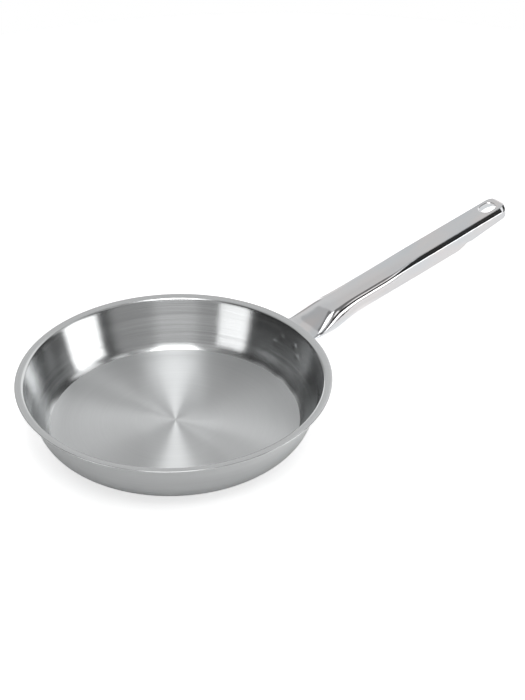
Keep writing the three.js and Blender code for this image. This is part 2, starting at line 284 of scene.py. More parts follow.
def softbox(name, compass_degrees, distance, height_m, aim_height, width, length, radiance):
    """A rectangular lamp at a compass angle, turned to face the pan's axis at aim_height."""
    lamp = bpy.data.lights.new(name, "AREA")
    lamp.shape = "RECTANGLE"
    lamp.size = width
    lamp.size_y = length
    lamp.energy = radiance * math.pi * width * length
    made = bpy.data.objects.new(name, lamp)
    scene.collection.objects.link(made)
    turn = math.radians(compass_degrees)
    made.location = (distance * math.cos(turn), distance * math.sin(turn), height_m)
    made.rotation_mode = "QUATERNION"
    made.rotation_quaternion = (Vector((0, 0, aim_height)) - made.location).to_track_quat("-Z", "Y")
    made.visible_camera = False
    return made


for settings in SOFTBOXES:
    softbox(*settings)
print("softboxes:", len(SOFTBOXES))

# %% [markdown]
# Grooves in the steel
# All the steel is one metal with different finishes. Spinning and brushing leave fine grooves round the
# pan's axis. A wave texture in rings would be too even, so the grooves are a noise that is squeezed
# across the radius and stretched round it, which also leaves no seam.

# %% Groove noise
STEEL_TINT = (0.983, 1.0, 1.006)
FINE_ARC = 0.9
BROAD_ARC = 0.5
BROAD_COARSER = 9
BROAD_SHARE = 0.45
LINES_LOW = 0.3
LINES_HIGH = 0.7


def steel_colour(level):
    """The metal's colour at a level of grey: a trace cooler than neutral."""
    return (*(level * tint for tint in STEEL_TINT), 1)


def groove_noise(nodes, direction, along, arc, pitch, detail):
    """Noise that runs round the axis: arc is how fast it changes round it, pitch across it."""
    stretched = nodes.add("ShaderNodeVectorMath", {0: direction, "Scale": arc}, operation="SCALE")
    parts = nodes.add("ShaderNodeSeparateXYZ", {0: stretched.outputs[0]}).outputs
    third = nodes.math("MULTIPLY", along, pitch)
    place = nodes.add("ShaderNodeCombineXYZ", {"X": parts["X"], "Y": parts["Y"], "Z": third}).outputs[0]
    grain = {"Vector": place, "Scale": 1.0, "Detail": detail, "Roughness": 0.6}
    return nodes.add("ShaderNodeTexNoise", grain).outputs["Fac"]


print("groove noise ready")

# %% [markdown]
# How the wall and the floor catch the light
# In the photo the wall's reflections run down almost to the floor's edge, and the floor looks level up
# to that edge, although the corner between them is round. A tighter corner would change the outline, so
# only the shading normals are set: the wall's stay steep to its foot, and the floor's stay level.

# %% Shading normals
MM = 0.001
FLOOR_EDGE_MM = 95.5
WALL_FOOT_MM = 104
# How far a normal is turned up, beside a sideways part of 1
WALL_LEAN = 0.24
WALL_TILT = 0.562
FOOT_TILT = 1.35
FLOOR_LEVELLING = 1.5


def wall_face(nodes, bump, direction, radius):
    """The wall leans up a little, and its foot stays as steep as the wall until just above the floor."""
    leaned = nodes.vector("ADD", bump, (0, 0, WALL_LEAN))
    foot = nodes.ramp(radius, FLOOR_EDGE_MM * MM, WALL_FOOT_MM * MM, 1.0, 0.0)
    near_floor = nodes.math("POWER", foot, 2.0)
    tilt = nodes.math("ADD", nodes.math("MULTIPLY", near_floor, FOOT_TILT - WALL_TILT), WALL_TILT)
    rise = nodes.add("ShaderNodeCombineXYZ", {"Z": tilt}).outputs[0]
    steep = nodes.vector("SUBTRACT", rise, direction)
    smooth_face = nodes.add("ShaderNodeNewGeometry").outputs["Normal"]
    held = nodes.vector("ADD", steep, nodes.vector("SUBTRACT", bump, smooth_face))
    above = nodes.ramp(radius, WALL_FOOT_MM * MM, (WALL_FOOT_MM + 1) * MM)
    return nodes.add("ShaderNodeMix", {0: above, 4: held, 5: leaned}, data_type="VECTOR").outputs[1]


def floor_face(nodes, bump, direction, radius):
    """The floor's rounded edge looks almost as level as its middle."""
    return nodes.vector("ADD", bump, (0, 0, FLOOR_LEVELLING))


def plain_face(nodes, bump, direction, radius):
    """The surface's own shape."""
    return bump


print("shading normals ready")

# %% [markdown]
# Spun and brushed steel
# Grooves stretch a reflection across themselves: that is anisotropy, and it gives the floor its bright
# wedges. Real grooves are too fine to model, so the shader's own anisotropy does it, with the direction
# round the axis as its tangent. A little of the groove noise goes into colour, roughness and bump.

# %% Steel recipe
GROOVE_TURN = 0.25


def spun_steel(name, dark, pale, rough, spread, anisotropy, pitch, groove, face=plain_face):
    """Steel with grooves round the axis: spread is the roughness' wander, groove the bump's depth."""
    steel, nodes = new_material(name)
    place = nodes.add("ShaderNodeTexCoord").outputs["Object"]
    flat = nodes.vector("MULTIPLY", place, (1, 1, 0))
    direction = nodes.vector("NORMALIZE", flat)
    radius = nodes.length(flat)
    along = nodes.math("ADD", radius, nodes.add("ShaderNodeSeparateXYZ", {0: place}).outputs["Z"])
    fine = groove_noise(nodes, direction, along, FINE_ARC, pitch, 3.0)
    broad = groove_noise(nodes, direction, along, BROAD_ARC, pitch / BROAD_COARSER, 2.0)
    lines = nodes.mix(BROAD_SHARE, fine, broad)
    amount = nodes.ramp(lines, LINES_LOW, LINES_HIGH)
    bump = nodes.add("ShaderNodeBump", {"Strength": 1.0, "Distance": groove, "Height": lines}).outputs[0]
    normal = nodes.vector("NORMALIZE", face(nodes, bump, direction, radius))
    surface = nodes.add(
        "ShaderNodeBsdfPrincipled",
        {
            "Base Color": nodes.mix_colours(amount, steel_colour(dark), steel_colour(pale)),
            "Metallic": 1.0,
            "Roughness": nodes.ramp(amount, 0, 1, rough - spread, rough + spread),
            "Anisotropic": anisotropy,
            "Anisotropic Rotation": GROOVE_TURN,
            "Tangent": nodes.vector("CROSS_PRODUCT", (0, 0, 1), direction),
            "Normal": normal,
        },
    )
    nodes.add("ShaderNodeOutputMaterial", {"Surface": surface.outputs[0]})
    return steel


# Name, darkest and palest grey, roughness and its wander, anisotropy, groove pitch, groove depth
brushed_floor = spun_steel("brushed_floor", 0.65, 0.70, 0.39, 0.035, 0.97, 2600, 2e-6, floor_face)
spun_wall = spun_steel("spun_wall", 0.56, 0.75, 0.22, 0.03, 0.86, 900, 3e-5, wall_face)
satin_lip = spun_steel("satin_lip", 0.55, 0.60, 0.22, 0.03, 0.5, 2200, 1e-6)
satin_outside = spun_steel("satin_outside", 0.57, 0.63, 0.30, 0.03, 0.7, 1800, 2e-6)
base_steel = spun_steel("base_steel", 0.50, 0.56, 0.42, 0.04, 0.7, 1100, 3e-6)
print("spun finishes made")

# %% [markdown]
# Spinning a profile
# The shell and the base cap were both formed on a lathe, so one rule makes them: a profile is turned
# round the axis. A Screw modifier could do that too. Geometry Nodes let the same tree press the weld
# marks into the wall, by the distance of each point from the welds. The profile is a row of points, and
# the tree rolls a grid round with it.


# %% Geometry Nodes tree that spins a profile
def spin_tree():
    """The tree, and the names by which a modifier sets its inputs."""
    tree = bpy.data.node_groups.new("spin_profile", "GeometryNodeTree")
    sockets = {}
    for name, kind in [
        ("Profile", "NodeSocketGeometry"),
        ("Segments", "NodeSocketInt"),
        ("Rows", "NodeSocketInt"),
        ("Marks", "NodeSocketObject"),
        ("Mark Radius", "NodeSocketFloat"),
        ("Mark Depth", "NodeSocketFloat"),
        ("Finish", "NodeSocketMaterial"),
    ]:
        sockets[name] = tree.interface.new_socket(name, in_out="INPUT", socket_type=kind).identifier
    tree.interface.new_socket("Mesh", in_out="OUTPUT", socket_type="NodeSocketGeometry")
    nodes = Nodes(tree)
    given = nodes.add("NodeGroupInput").outputs
    columns = nodes.math("ADD", given["Segments"], 1)
    grid = nodes.add("GeometryNodeMeshGrid", {"Vertices X": columns, "Vertices Y": given["Rows"]})
    index = nodes.add("GeometryNodeInputIndex").outputs[0]
    row = nodes.math("MODULO", index, given["Rows"])
    column = nodes.math("FLOOR", nodes.math("DIVIDE", nodes.math("ADD", index, 0.5), given["Rows"]))
    turn = nodes.math("MULTIPLY", nodes.math("DIVIDE", column, given["Segments"]), 2 * math.pi)
    position = nodes.add("GeometryNodeInputPosition").outputs[0]
    sample = nodes.add(
        "GeometryNodeSampleIndex",
        {"Geometry": given["Profile"], "Value": position, "Index": row},
        data_type="FLOAT_VECTOR",
        domain="POINT",
    ).outputs[0]
    roll = {"Vector": sample, "Angle": turn}
    rolled = nodes.add("ShaderNodeVectorRotate", roll, rotation_type="Z_AXIS").outputs[0]
    spun = nodes.add("GeometryNodeSetPosition", {"Geometry": grid.outputs["Mesh"], "Position": rolled})
    closed = nodes.add("GeometryNodeMergeByDistance", {"Geometry": spun.outputs[0], "Distance": 1e-7})
    marks = nodes.add("GeometryNodeObjectInfo", {"Object": given["Marks"]}).outputs["Geometry"]
    near = nodes.add("GeometryNodeProximity", {0: marks}, target_element="POINTS").outputs["Distance"]
    mark_edge = given["Mark Radius"]
    depth = nodes.ramp(near, 0.0, mark_edge, given["Mark Depth"], 0.0, interpolation_type="SMOOTHSTEP")
    outward = nodes.vector("NORMALIZE", nodes.vector("MULTIPLY", position, (1, 1, 0)))
    shift = nodes.add("ShaderNodeVectorMath", {0: outward, "Scale": depth}, operation="SCALE").outputs[0]
    pressed = nodes.add("GeometryNodeSetPosition", {"Geometry": closed.outputs[0], "Offset": shift})
    smooth = nodes.add("GeometryNodeSetShadeSmooth", {"Geometry": pressed.outputs[0]})
    real = nodes.add("GeometryNodeRealizeInstances", {"Geometry": smooth.outputs[0]}).outputs[0]
    finished = nodes.add("GeometryNodeSetMaterial", {"Geometry": real, "Material": given["Finish"]})
    nodes.add("NodeGroupOutput", {0: finished.outputs[0]})
    return tree, sockets


spin_group, spin_sockets = spin_tree()
print("spin tree nodes:", len(spin_group.nodes))

# %% [markdown]
# From tree to piece
# The finished pieces are plain meshes, so the modifier is applied once and removed. Faces have to look
# outward for the shading to be right, and a closed mesh tells which way they look by its signed volume.


# %% Use the tree on one profile
def face_outward(mesh):
    """Turns every face of a closed mesh round if its signed volume says that it is inside out."""
    mesh.calc_loop_triangles()
    points = np.empty(len(mesh.vertices) * 3)
    mesh.vertices.foreach_get("co", points)
    corners = np.empty(len(mesh.loop_triangles) * 3, np.int32)
    mesh.loop_triangles.foreach_get("vertices", corners)
    a, b, c = points.reshape(-1, 3)[corners.reshape(-1, 3)].transpose(1, 0, 2)
    volume = (a * np.cross(b, c)).sum() / 6
    if volume < 0:
        mesh.flip_normals()
    return abs(volume)


def spin(name, profile, segments, finish, marks=None, mark_radius=0.003, mark_depth=0.0):
    """A plain mesh object: the profile's (radius, height) points in metres, turned round Z."""
    mesh = bpy.data.meshes.new(name + "_profile")
    mesh.from_pydata([(x, 0, z) for x, z in profile], [], [])
    piece = bpy.data.objects.new(name, mesh)
    scene.collection.objects.link(piece)
    modifier = piece.modifiers.new("spin", "NODES")
    modifier.node_group = spin_group
    settings = {
        "Segments": segments,
        "Rows": len(profile),
        "Marks": marks,
        "Mark Radius": mark_radius,
        "Mark Depth": mark_depth,
        "Finish": finish,
    }
    for socket, value in settings.items():
        modifier[spin_sockets[socket]] = value
    graph = bpy.context.evaluated_depsgraph_get()
    spun = bpy.data.meshes.new_from_object(piece.evaluated_get(graph))
    piece.modifiers.remove(modifier)
    piece.data = spun
    spun.name = name
    spun.materials.pop(index=0)
    volume = face_outward(spun)
    print(name, "faces", len(spun.polygons), "steel in it, cm3:", round(volume * 1e6, 2))
    return piece


print("spin ready")

# %% [markdown]
# Drawing with runs and arcs
# A profile in sheet metal is straight runs that meet in round corners. It could be drawn by hand as a
# curve, but then a change of one size means drawing it again. These helpers work it out from the sizes.


# %% Profile tools
def meeting(point, direction, other, other_direction):
    """Where two lines meet, each given by a point and a direction."""
    between = other - point
    share = between.cross(other_direction) / direction.cross(other_direction)
    return point + direction * share


def turned(arrow, angle):
    """A plane vector turned anticlockwise."""
    x = arrow.x * math.cos(angle) - arrow.y * math.sin(angle)
    y = arrow.x * math.sin(angle) + arrow.y * math.cos(angle)
    return Vector((x, y))


def round_corner(before, corner, after, radius, steps):
    """Points of an arc that rounds off a corner between two straight runs."""
    back = (before - corner).normalized()
    ahead = (after - corner).normalized()
    half = back.angle(ahead) / 2
    centre = corner + (back + ahead).normalized() * (radius / math.sin(half))
    start = corner + back * (radius / math.tan(half)) - centre
    end = corner + ahead * (radius / math.tan(half)) - centre
    first = math.atan2(start.y, start.x)
    turn = math.remainder(math.atan2(end.y, end.x) - first, 2 * math.pi)
    angles = [first + turn * i / steps for i in range(steps + 1)]
    return [centre + Vector((math.cos(a), math.sin(a))) * radius for a in angles]


def divided(points, spacing):
    """The same path with points added so that none are further apart than spacing."""
    dense = [points[0]]
    for start, end in zip(points, points[1:]):
        steps = max(1, math.ceil((end - start).length / spacing))
        dense += [start.lerp(end, i / steps) for i in range(1, steps + 1)]
    return dense


print("profile tools ready")

# %% [markdown]
# The shell's profile
# The sheet runs flat from the axis, turns up through a round corner, climbs the flared wall and bends
# out into a flat pouring lip with a rounded edge. The sizes are those of the CAD part, in millimetres.
# A Solidify modifier could add the thickness. Here each face of the sheet is the same path with its
# corners moved by the thickness, so that the corners stay true arcs.

# %% Shell sizes and profile
RIM_RADIUS = 120
FLOOR_LEVEL = 7.2
RIM_LEVEL = 48.2
SHEET = 1
FLARE = math.radians(17.3)
FLOOR_FILLET = 19.3
LIP_WIDTH = 6.5
LIP_RISE = 0.5
LIP_BEND = 2
INSIDE_ROWS_MM = 0.75
OUTSIDE_ROWS_MM = 3
FLOOR_ROWS_MM = 12
FILLET_STEPS = 18
BEND_STEPS = 8
NOSE_STEPS = 6

wall_direction = Vector((math.sin(FLARE), math.cos(FLARE)))
wall_normal = Vector((math.cos(FLARE), -math.sin(FLARE)))
lip_corner = Vector((RIM_RADIUS - LIP_WIDTH, RIM_LEVEL - LIP_RISE))
lip_direction = Vector((LIP_WIDTH, LIP_RISE)).normalized()
lip_normal = Vector((lip_direction.y, -lip_direction.x))


def wall_point(level_mm, outward):
    """The point of the wall's inner face at a height, moved out across the wall."""
    fall = (lip_corner.y - level_mm) * math.tan(FLARE)
    return Vector((lip_corner.x - fall, level_mm)) + wall_normal * outward


def shell_face(depth, rows):
    """One face of the sheet, from the axis to the lip's edge. Depth is 0 inside and SHEET outside."""
    middle = Vector((0, FLOOR_LEVEL - depth))
    wall = wall_point(lip_corner.y, depth)
    lip = lip_corner + lip_normal * depth
    foot = meeting(middle, Vector((1, 0)), wall, wall_direction)
    bend = meeting(wall, wall_direction, lip, lip_direction)
    edge = lip + lip_direction * (LIP_WIDTH - SHEET / 2)
    low = round_corner(middle, foot, bend, FLOOR_FILLET + depth, FILLET_STEPS)
    high = round_corner(foot, bend, edge, LIP_BEND + SHEET - depth, BEND_STEPS)
    floor_run = divided([middle, low[0]], FLOOR_ROWS_MM)
    wall_run = divided([low[-1], high[0]], rows)
    return floor_run + low[1:-1] + wall_run + high[1:] + [edge]


def shell_profile():
    """The inner face, the lip's rounded nose and the outer face, as one path."""
    inside = shell_face(0, INSIDE_ROWS_MM)
    outside = shell_face(SHEET, OUTSIDE_ROWS_MM)
    centre = (inside[-1] + outside[-1]) / 2
    spoke = inside[-1] - centre
    nose = [centre + turned(spoke, -math.pi * i / NOSE_STEPS) for i in range(1, NOSE_STEPS)]
    return inside + nose + outside[::-1]


shell_path = [(p.x * MM, p.y * MM) for p in shell_profile()]
print("shell profile points", len(shell_path))

# %% [markdown]
# Weld marks
# Four spot welds hold the handle's flange to the wall, and each leaves a shallow round mark on the
# inside of the pan. A bump texture would vanish in the exported mesh, so the marks are real dents: they
# are points on the wall, and the spin tree presses the sheet out round each of them.

# %% Weld mark points
FLANGE_WIDTH = 36.6
# Distances up the flange and in from its side edges
WELD_ROWS = [(13.6, 10.3), (6.8, 4.3)]
MARK_RADIUS = 3.6
MARK_DEPTH = 0.28


def weld_points(flange_height):
    """Points on the inner wall, two to a row. flange_height gives the level of a place up the flange."""
    points = []
    for up_flange, from_edge in WELD_ROWS:
        aside = FLANGE_WIDTH / 2 - from_edge
        seat = wall_point(flange_height(up_flange), 0)
        for side in (-aside, aside):
            a = side / seat.x
            points.append((seat.x * math.cos(a) * MM, seat.x * math.sin(a) * MM, seat.y * MM))
    return points


print("weld rows", len(WELD_ROWS))

# %% [markdown]
# The handle's guide line
# The handle is one steel tube. Its near end is pressed flat and bent down against the wall, and it
# leaves the pan at ten degrees. A curve with a bevel can't change its section, so rings of skin are
# strung along a guide line instead: up the flange, round the bend, out along the tube.

# %% Guide line
TUBE_SHEET = 1
HANDLE_REACH = 218.3
HANDLE_RISE = math.radians(10)
AXIS_BELOW_RIM = 3.7
FLANGE_LENGTH = 17
FLANGE_GAP = 0.6
FLANGE_SEAT = 0.3
ROOT_DROP = 1.5
ROOT_BEND = 5

flange_thickness = 2 * TUBE_SHEET + FLANGE_GAP
flange_offset = SHEET + FLANGE_SEAT + flange_thickness / 2
tube_direction = Vector((math.cos(HANDLE_RISE), math.sin(HANDLE_RISE)))
tube_up = Vector((-tube_direction.y, tube_direction.x))
root_line = Vector((RIM_RADIUS, RIM_LEVEL - AXIS_BELOW_RIM)) - tube_up * ROOT_DROP
flange_line = wall_point(lip_corner.y, flange_offset)
root_corner = meeting(flange_line, wall_direction, root_line, tube_direction)
bend_angle = math.pi / 2 - FLARE - HANDLE_RISE
bend_tangent = ROOT_BEND * math.tan(bend_angle / 2)
flange_top = root_corner - wall_direction * bend_tangent
tube_start = root_corner + tube_direction * bend_tangent
bend_centre = flange_top + wall_normal * ROOT_BEND
tube_from = FLANGE_LENGTH + ROOT_BEND * bend_angle
handle_end = tube_from + (RIM_RADIUS + HANDLE_REACH - tube_start.x) / tube_direction.x


def station(distance):
    """The guide line's place and its upward side, at a distance from the flange's lower edge."""
    if distance <= FLANGE_LENGTH:
        return flange_top + wall_direction * (distance - FLANGE_LENGTH), -wall_normal
    if distance >= tube_from:
        return tube_start + tube_direction * (distance - tube_from), tube_up
    up = turned(-wall_normal, -(distance - FLANGE_LENGTH) / ROOT_BEND)
    return bend_centre + up * ROOT_BEND, up


print("handle guide line", round(handle_end, 1), "mm")

# %% [markdown]
# The shell
# The real shell is one disc of sheet, pressed over a turning form. The welds sit on the handle's flange,
# so the shell is spun only now that the guide line says where that is. Its many steps round keep the lip
# smooth in a close view.

# %% Spin the shell
SHELL_SEGMENTS = 720

mark_mesh = bpy.data.meshes.new("weld_points")
mark_mesh.from_pydata(weld_points(lambda up_flange: station(up_flange)[0].y), [], [])
mark_object = bpy.data.objects.new("weld_points", mark_mesh)
scene.collection.objects.link(mark_object)
mark_sizes = (MARK_RADIUS * MM, MARK_DEPTH * MM)
shell = spin("spun_shell", shell_path, SHELL_SEGMENTS, spun_wall, mark_object, *mark_sizes)
bpy.data.objects.remove(mark_object)

# %% [markdown]
# Finishes of the shell
# The shell has four finishes. The floor is brushed up to a line just inside the corner, the wall above
# it is smoother from spinning, the lip is satin, and so is the outside. Separate pieces would show
# seams, so each face of the one mesh takes its finish from where it is.

# %% Finish by place
LIP_BAND_MM = 1.6
LEAST_UPWARD = 0.05
WALL_KIND, FLOOR_KIND, LIP_KIND, OUTSIDE_KIND = range(4)


def face_data(mesh):
    """The centre and the normal of every face."""
    centres = np.empty(len(mesh.polygons) * 3)
    normals = np.empty(len(mesh.polygons) * 3)
    mesh.polygons.foreach_get("center", centres)
    mesh.polygons.foreach_get("normal", normals)
    return centres.reshape(-1, 3), normals.reshape(-1, 3)


centres, normals = face_data(shell.data)
face_radius = np.hypot(centres[:, 0], centres[:, 1]) / MM
is_inside = normals[:, 2] > LEAST_UPWARD
kinds = np.full(len(centres), OUTSIDE_KIND)
kinds[is_inside] = WALL_KIND
kinds[is_inside & (face_radius < FLOOR_EDGE_MM)] = FLOOR_KIND
kinds[centres[:, 2] / MM > lip_corner.y - LIP_BAND_MM] = LIP_KIND
for finish in (brushed_floor, satin_lip, satin_outside):
    shell.data.materials.append(finish)
shell.data.polygons.foreach_set("material_index", kinds.astype(np.int32))
print("faces by finish:", np.bincount(kinds))

# %% [markdown]
# The base cap
# A magnetic steel cup closes the sandwich base and is what the pan stands on. It is pressed on the real
# pan, and round, so it is turned from its own profile with the same tree.

# %% Spin the base cap
CAP_RADIUS = 84
CAP_SHEET = 0.8
CAP_CORNER = 4
CAP_INNER_STEPS = 10
CAP_OUTER_STEPS = 12
CAP_SEGMENTS = 360
CAP_SHARP = math.radians(35)


def cap_profile():
    """The cup's inner face, its edge and its outer face, as one path."""
    shell_bottom = FLOOR_LEVEL - SHEET
    corner_in = Vector((CAP_RADIUS - CAP_SHEET, CAP_SHEET))
    corner_out = Vector((CAP_RADIUS, 0))
    middle_in = Vector((0, CAP_SHEET))
    middle_out = Vector((0, 0))
    top_in = Vector((CAP_RADIUS - CAP_SHEET, shell_bottom))
    top_out = Vector((CAP_RADIUS, shell_bottom))
    inside = round_corner(middle_in, corner_in, top_in, CAP_CORNER - CAP_SHEET, CAP_INNER_STEPS)
    outside = round_corner(top_out, corner_out, middle_out, CAP_CORNER, CAP_OUTER_STEPS)
    bottom = divided([outside[-1], middle_out], FLOOR_ROWS_MM)
    return [middle_in, *inside, top_in, top_out, *outside, *bottom[1:]]


cap = spin("spun_base_cap", [(p.x * MM, p.y * MM) for p in cap_profile()], CAP_SEGMENTS, base_steel)
cap.data.set_sharp_from_angle(angle=CAP_SHARP)

# %% [markdown]
# Changes along the handle
# The tube is pressed flat at the root, and at the far end its underside is pressed up into the top, with
# a rounded tip. Shape keys could hold such states. A share that goes smoothly from 0 to 1 along the
# handle says the same in one line, and can be asked for at any place.

# %% Shape along the handle
ROOT_TAPER = 36
PRESSED_LENGTH = 27.8
END_TAPER = 34
END_ROUND = 10
END_SHOULDER = 4
END_EDGE_DROP = 4

root_end = tube_from + ROOT_TAPER
pressed_from = handle_end - PRESSED_LENGTH


def smooth(low, high, value):
    """0 below low and 1 above high, with a smooth rise between."""
    share = min(1.0, max(0.0, (value - low) / (high - low)))
    return share * share * (3 - 2 * share)


def flattened(distance):
    """1 where the tube is pressed flat at the root, 0 where it is full."""
    return 1 - smooth(tube_from + ROOT_BEND / 2, root_end, distance)


def end_outline(distance):
    """How much the rounded tip narrows the handle there, and how far its shoulder is lowered."""
    past_round = max(0.0, distance - (handle_end - END_ROUND)) / END_ROUND
    past_shoulder = max(0.0, distance - (handle_end - END_SHOULDER)) / END_SHOULDER
    narrowing = math.sqrt(max(0.0, 1 - past_round**2))
    return narrowing, END_SHOULDER * (1 - math.sqrt(max(0.0, 1 - past_shoulder**2)))


def edge_level(distance):
    """Where top and underside meet: it drops before the pressed end and climbs back to the tip."""
    drop_to = pressed_from - END_TAPER / 2
    climbed = max(0.0, distance - drop_to) / (handle_end - drop_to)
    return -END_EDGE_DROP * smooth(pressed_from - END_TAPER, drop_to, distance) * (1 - climbed)


root_places = (0, ROOT_TAPER / 2, ROOT_TAPER)
print("flat along the root:", [round(flattened(tube_from + d), 2) for d in root_places])

# %% [markdown]
# The handle's section
# At the root the section is a wide, flat oval that rises from the flange and is gathered into the tube.
# From the middle outward the tube's upper side is drawn into a box with a chamfer along each edge, which
# shows as a dark band. Sculpting could give such a shape, but a rule keeps every size a number that can
# be changed. An oval grows squarer when its sine and cosine are raised to a power below 1. The box is
# read off its corners, and the two are mixed by how far the tube is drawn.

# %% Section sizes
ROOT_SQUARE = 0.58
ROOT_DEEPEN = 52
GATHER_FROM = 14
GATHER_TO = 58
EDGE_DROP_RUN = 12
TUBE_SQUARE = 0.72
TUBE_HALF_WIDTH = 13.4
TUBE_TOP = 8.8
TUBE_UNDER = 9.6
DRAWN_FROM = 84
DRAWN_LENGTH = 42
BOX_LOW_SQUARE = 0.5
BOX_HALF_WIDTH = 12.2
# The box's corners: how far round the quarter section they are, and their share of its half width
BOX_SHARES = [0, 0.35, 0.5, 1]
BOX_ACROSS = [1, 0.98, 0.73, 0]
BOX_CHAMFER = 3.3
END_HALF_WIDTH = 12
POCKET_RUN = 3
ROUNDING = 1e-9

pressed_sheet = 2 * TUBE_SHEET
pocket_end = handle_end - pressed_sheet
print("tube width and height, in mm:", 2 * TUBE_HALF_WIDTH, round(TUBE_TOP + TUBE_UNDER, 1))


# %% Handle section
def handle_section(angles, distance, inset):
    """Width and height of one ring of skin. Inset is 0 for the outer face, TUBE_SHEET for the inner."""
    flat = flattened(distance)
    deep = smooth(tube_from, tube_from + ROOT_DEEPEN, distance)
    gathered = smooth(tube_from + GATHER_FROM, tube_from + GATHER_TO, distance)
    drawn = smooth(tube_from + DRAWN_FROM, tube_from + DRAWN_FROM + DRAWN_LENGTH, distance)
    pressed = smooth(pressed_from - END_TAPER, pressed_from, distance)
    pocket = 1 - smooth(pocket_end - POCKET_RUN, pocket_end, distance)
    narrowing, lowering = end_outline(distance)

    crown = TUBE_TOP * (1 - flat) + flange_thickness / 2 * flat - lowering
    low = -TUBE_UNDER * deep - flange_thickness / 2 * (1 - deep)
    root_edge = low * (1 - gathered) * smooth(tube_from, tube_from + EDGE_DROP_RUN, distance)
    edge = inset * pressed + edge_level(distance) + root_edge

    is_top = np.sin(angles) >= -ROUNDING
    square = np.where(is_top, TUBE_SQUARE, TUBE_SQUARE + (BOX_LOW_SQUARE - TUBE_SQUARE) * drawn)
    square = square + (ROOT_SQUARE - square) * flat
    boxed = np.where(is_top, drawn, pressed)
    share = np.arcsin(np.minimum(1, np.abs(np.sin(angles)))) / (math.pi / 2)
    box_rise = [0, 1 - BOX_CHAMFER / max(crown - edge, 2 * BOX_CHAMFER), 1, 1]
    box_across = np.interp(share, BOX_SHARES, BOX_ACROSS)
    box_bulge = np.interp(share, BOX_SHARES, box_rise)
    across = np.abs(np.cos(angles)) ** square * (1 - boxed) + box_across * boxed
    bulge = np.abs(np.sin(angles)) ** square * (1 - boxed) + box_bulge * boxed

    roof = edge + (crown - pressed_sheet - edge) * pocket
    underside = low + (roof - low) * pressed + inset
    level_mm = edge + (np.where(is_top, crown - inset, underside) - edge) * bulge
    half_width = FLANGE_WIDTH / 2 + (TUBE_HALF_WIDTH - FLANGE_WIDTH / 2) * gathered
    half_width = half_width + (BOX_HALF_WIDTH - half_width) * drawn
    half_width = half_width + (END_HALF_WIDTH - BOX_HALF_WIDTH) * pressed
    folded_in = np.where(is_top, 0, 0 if inset else pressed_sheet * pressed * pocket)
    width = (half_width - inset - folded_in) * narrowing * across * np.sign(np.cos(angles))
    return width, ROOT_DROP * (1 - flat) + level_mm


quarter_turns = np.array([0, math.pi / 2])
side, crest = np.round(np.c_[handle_section(quarter_turns, root_end + ROOT_TAPER, 0)], 1).tolist()
print("tube's side and crest, in mm:", side, crest)

# %% [markdown]
# Rings of skin
# Each ring is made dense, softened a little so that folded edges are round as in bent sheet, and then
# spread evenly. A bevel modifier would round the folds too, but not by the same amount along a section
# that changes.

# %% Handle rings
RING_POINTS = 160
DENSE_POINTS = 1440
SOFTEN_MM = 0.25


def spread_evenly(points, count):
    """The path's points at even steps of length, without its last point."""
    steps = np.r_[0, np.cumsum(np.hypot(*np.diff(points, axis=0).T))]
    at = np.linspace(0, steps[-1], count, endpoint=False)
    return np.c_[np.interp(at, steps, points[:, 0]), np.interp(at, steps, points[:, 1])]


def softened(points):
    """The closed ring blurred along its length, which rounds its corners."""
    length = np.hypot(*np.diff(np.r_[points, points[:1]], axis=0).T).sum()
    waves = np.fft.fftfreq(len(points), d=length / len(points))
    blur = np.exp(-2 * (np.pi * SOFTEN_MM * waves) ** 2)[:, None]
    return np.fft.ifft(np.fft.fft(points, axis=0) * blur, axis=0).real


def handle_ring(distance, inset):
    """One ring of points. Near the wall its width is wrapped round the pan's axis, to lie on the shell."""
    angles = np.linspace(0, 2 * math.pi, DENSE_POINTS, endpoint=False)
    section = np.c_[handle_section(angles, distance, inset)]
    half = DENSE_POINTS // 2
    upper = spread_evenly(section[: half + 1], half)
    lower = spread_evenly(np.r_[section[half:], section[:1]], half)
    section = softened(np.r_[upper, lower])[:: DENSE_POINTS // RING_POINTS]
    place, up = station(distance)
    x = place.x + up.x * section[:, 1]
    z = place.y + up.y * section[:, 1]
    wrap = section[:, 0] / x
    wrapped = np.c_[x * np.cos(wrap), x * np.sin(wrap), z]
    straight = np.c_[x, section[:, 0], z]
    flat = flattened(distance)
    return straight * (1 - flat) + wrapped * flat


print("points in a ring", len(handle_ring(root_end, 0)))

# %% [markdown]
# Where the rings go
# Rings lie close where the shape changes quickly, at the root and the tip, and further apart along the
# plain tube. Even spacing would need many more of them. The tube's inner face is out of sight, so it
# takes only every third ring.

# %% String the rings
FLANGE_RINGS = 14
BEND_RINGS = 14
ROOT_RINGS = 50
TUBE_RINGS = 60
TAPER_RINGS = 44
END_RINGS = 40
TIP_RINGS = 36
TIP_SHARE = 0.985
INNER_EVERY = 3


def steps(start, end, count):
    """Even steps from start, without the end."""
    return list(np.linspace(start, end, count, endpoint=False))


hollow_runs = (
    steps(0, FLANGE_LENGTH, FLANGE_RINGS)
    + steps(FLANGE_LENGTH, tube_from, BEND_RINGS)
    + steps(tube_from, root_end, ROOT_RINGS)
    + steps(root_end, pressed_from - END_TAPER, TUBE_RINGS)
    + steps(pressed_from - END_TAPER, pressed_from, TAPER_RINGS)
)
tip_from = handle_end - END_ROUND
end_runs = steps(pressed_from, tip_from, END_RINGS)
end_runs += [tip_from + END_ROUND * math.sin(a) for a in steps(0, math.pi / 2 * TIP_SHARE, TIP_RINGS)]
outer_rings = [handle_ring(d, 0) for d in hollow_runs + end_runs]
inner_rings = [handle_ring(d, TUBE_SHEET) for d in hollow_runs[::INNER_EVERY]]
print("rings outside", len(outer_rings), "inside", len(inner_rings))

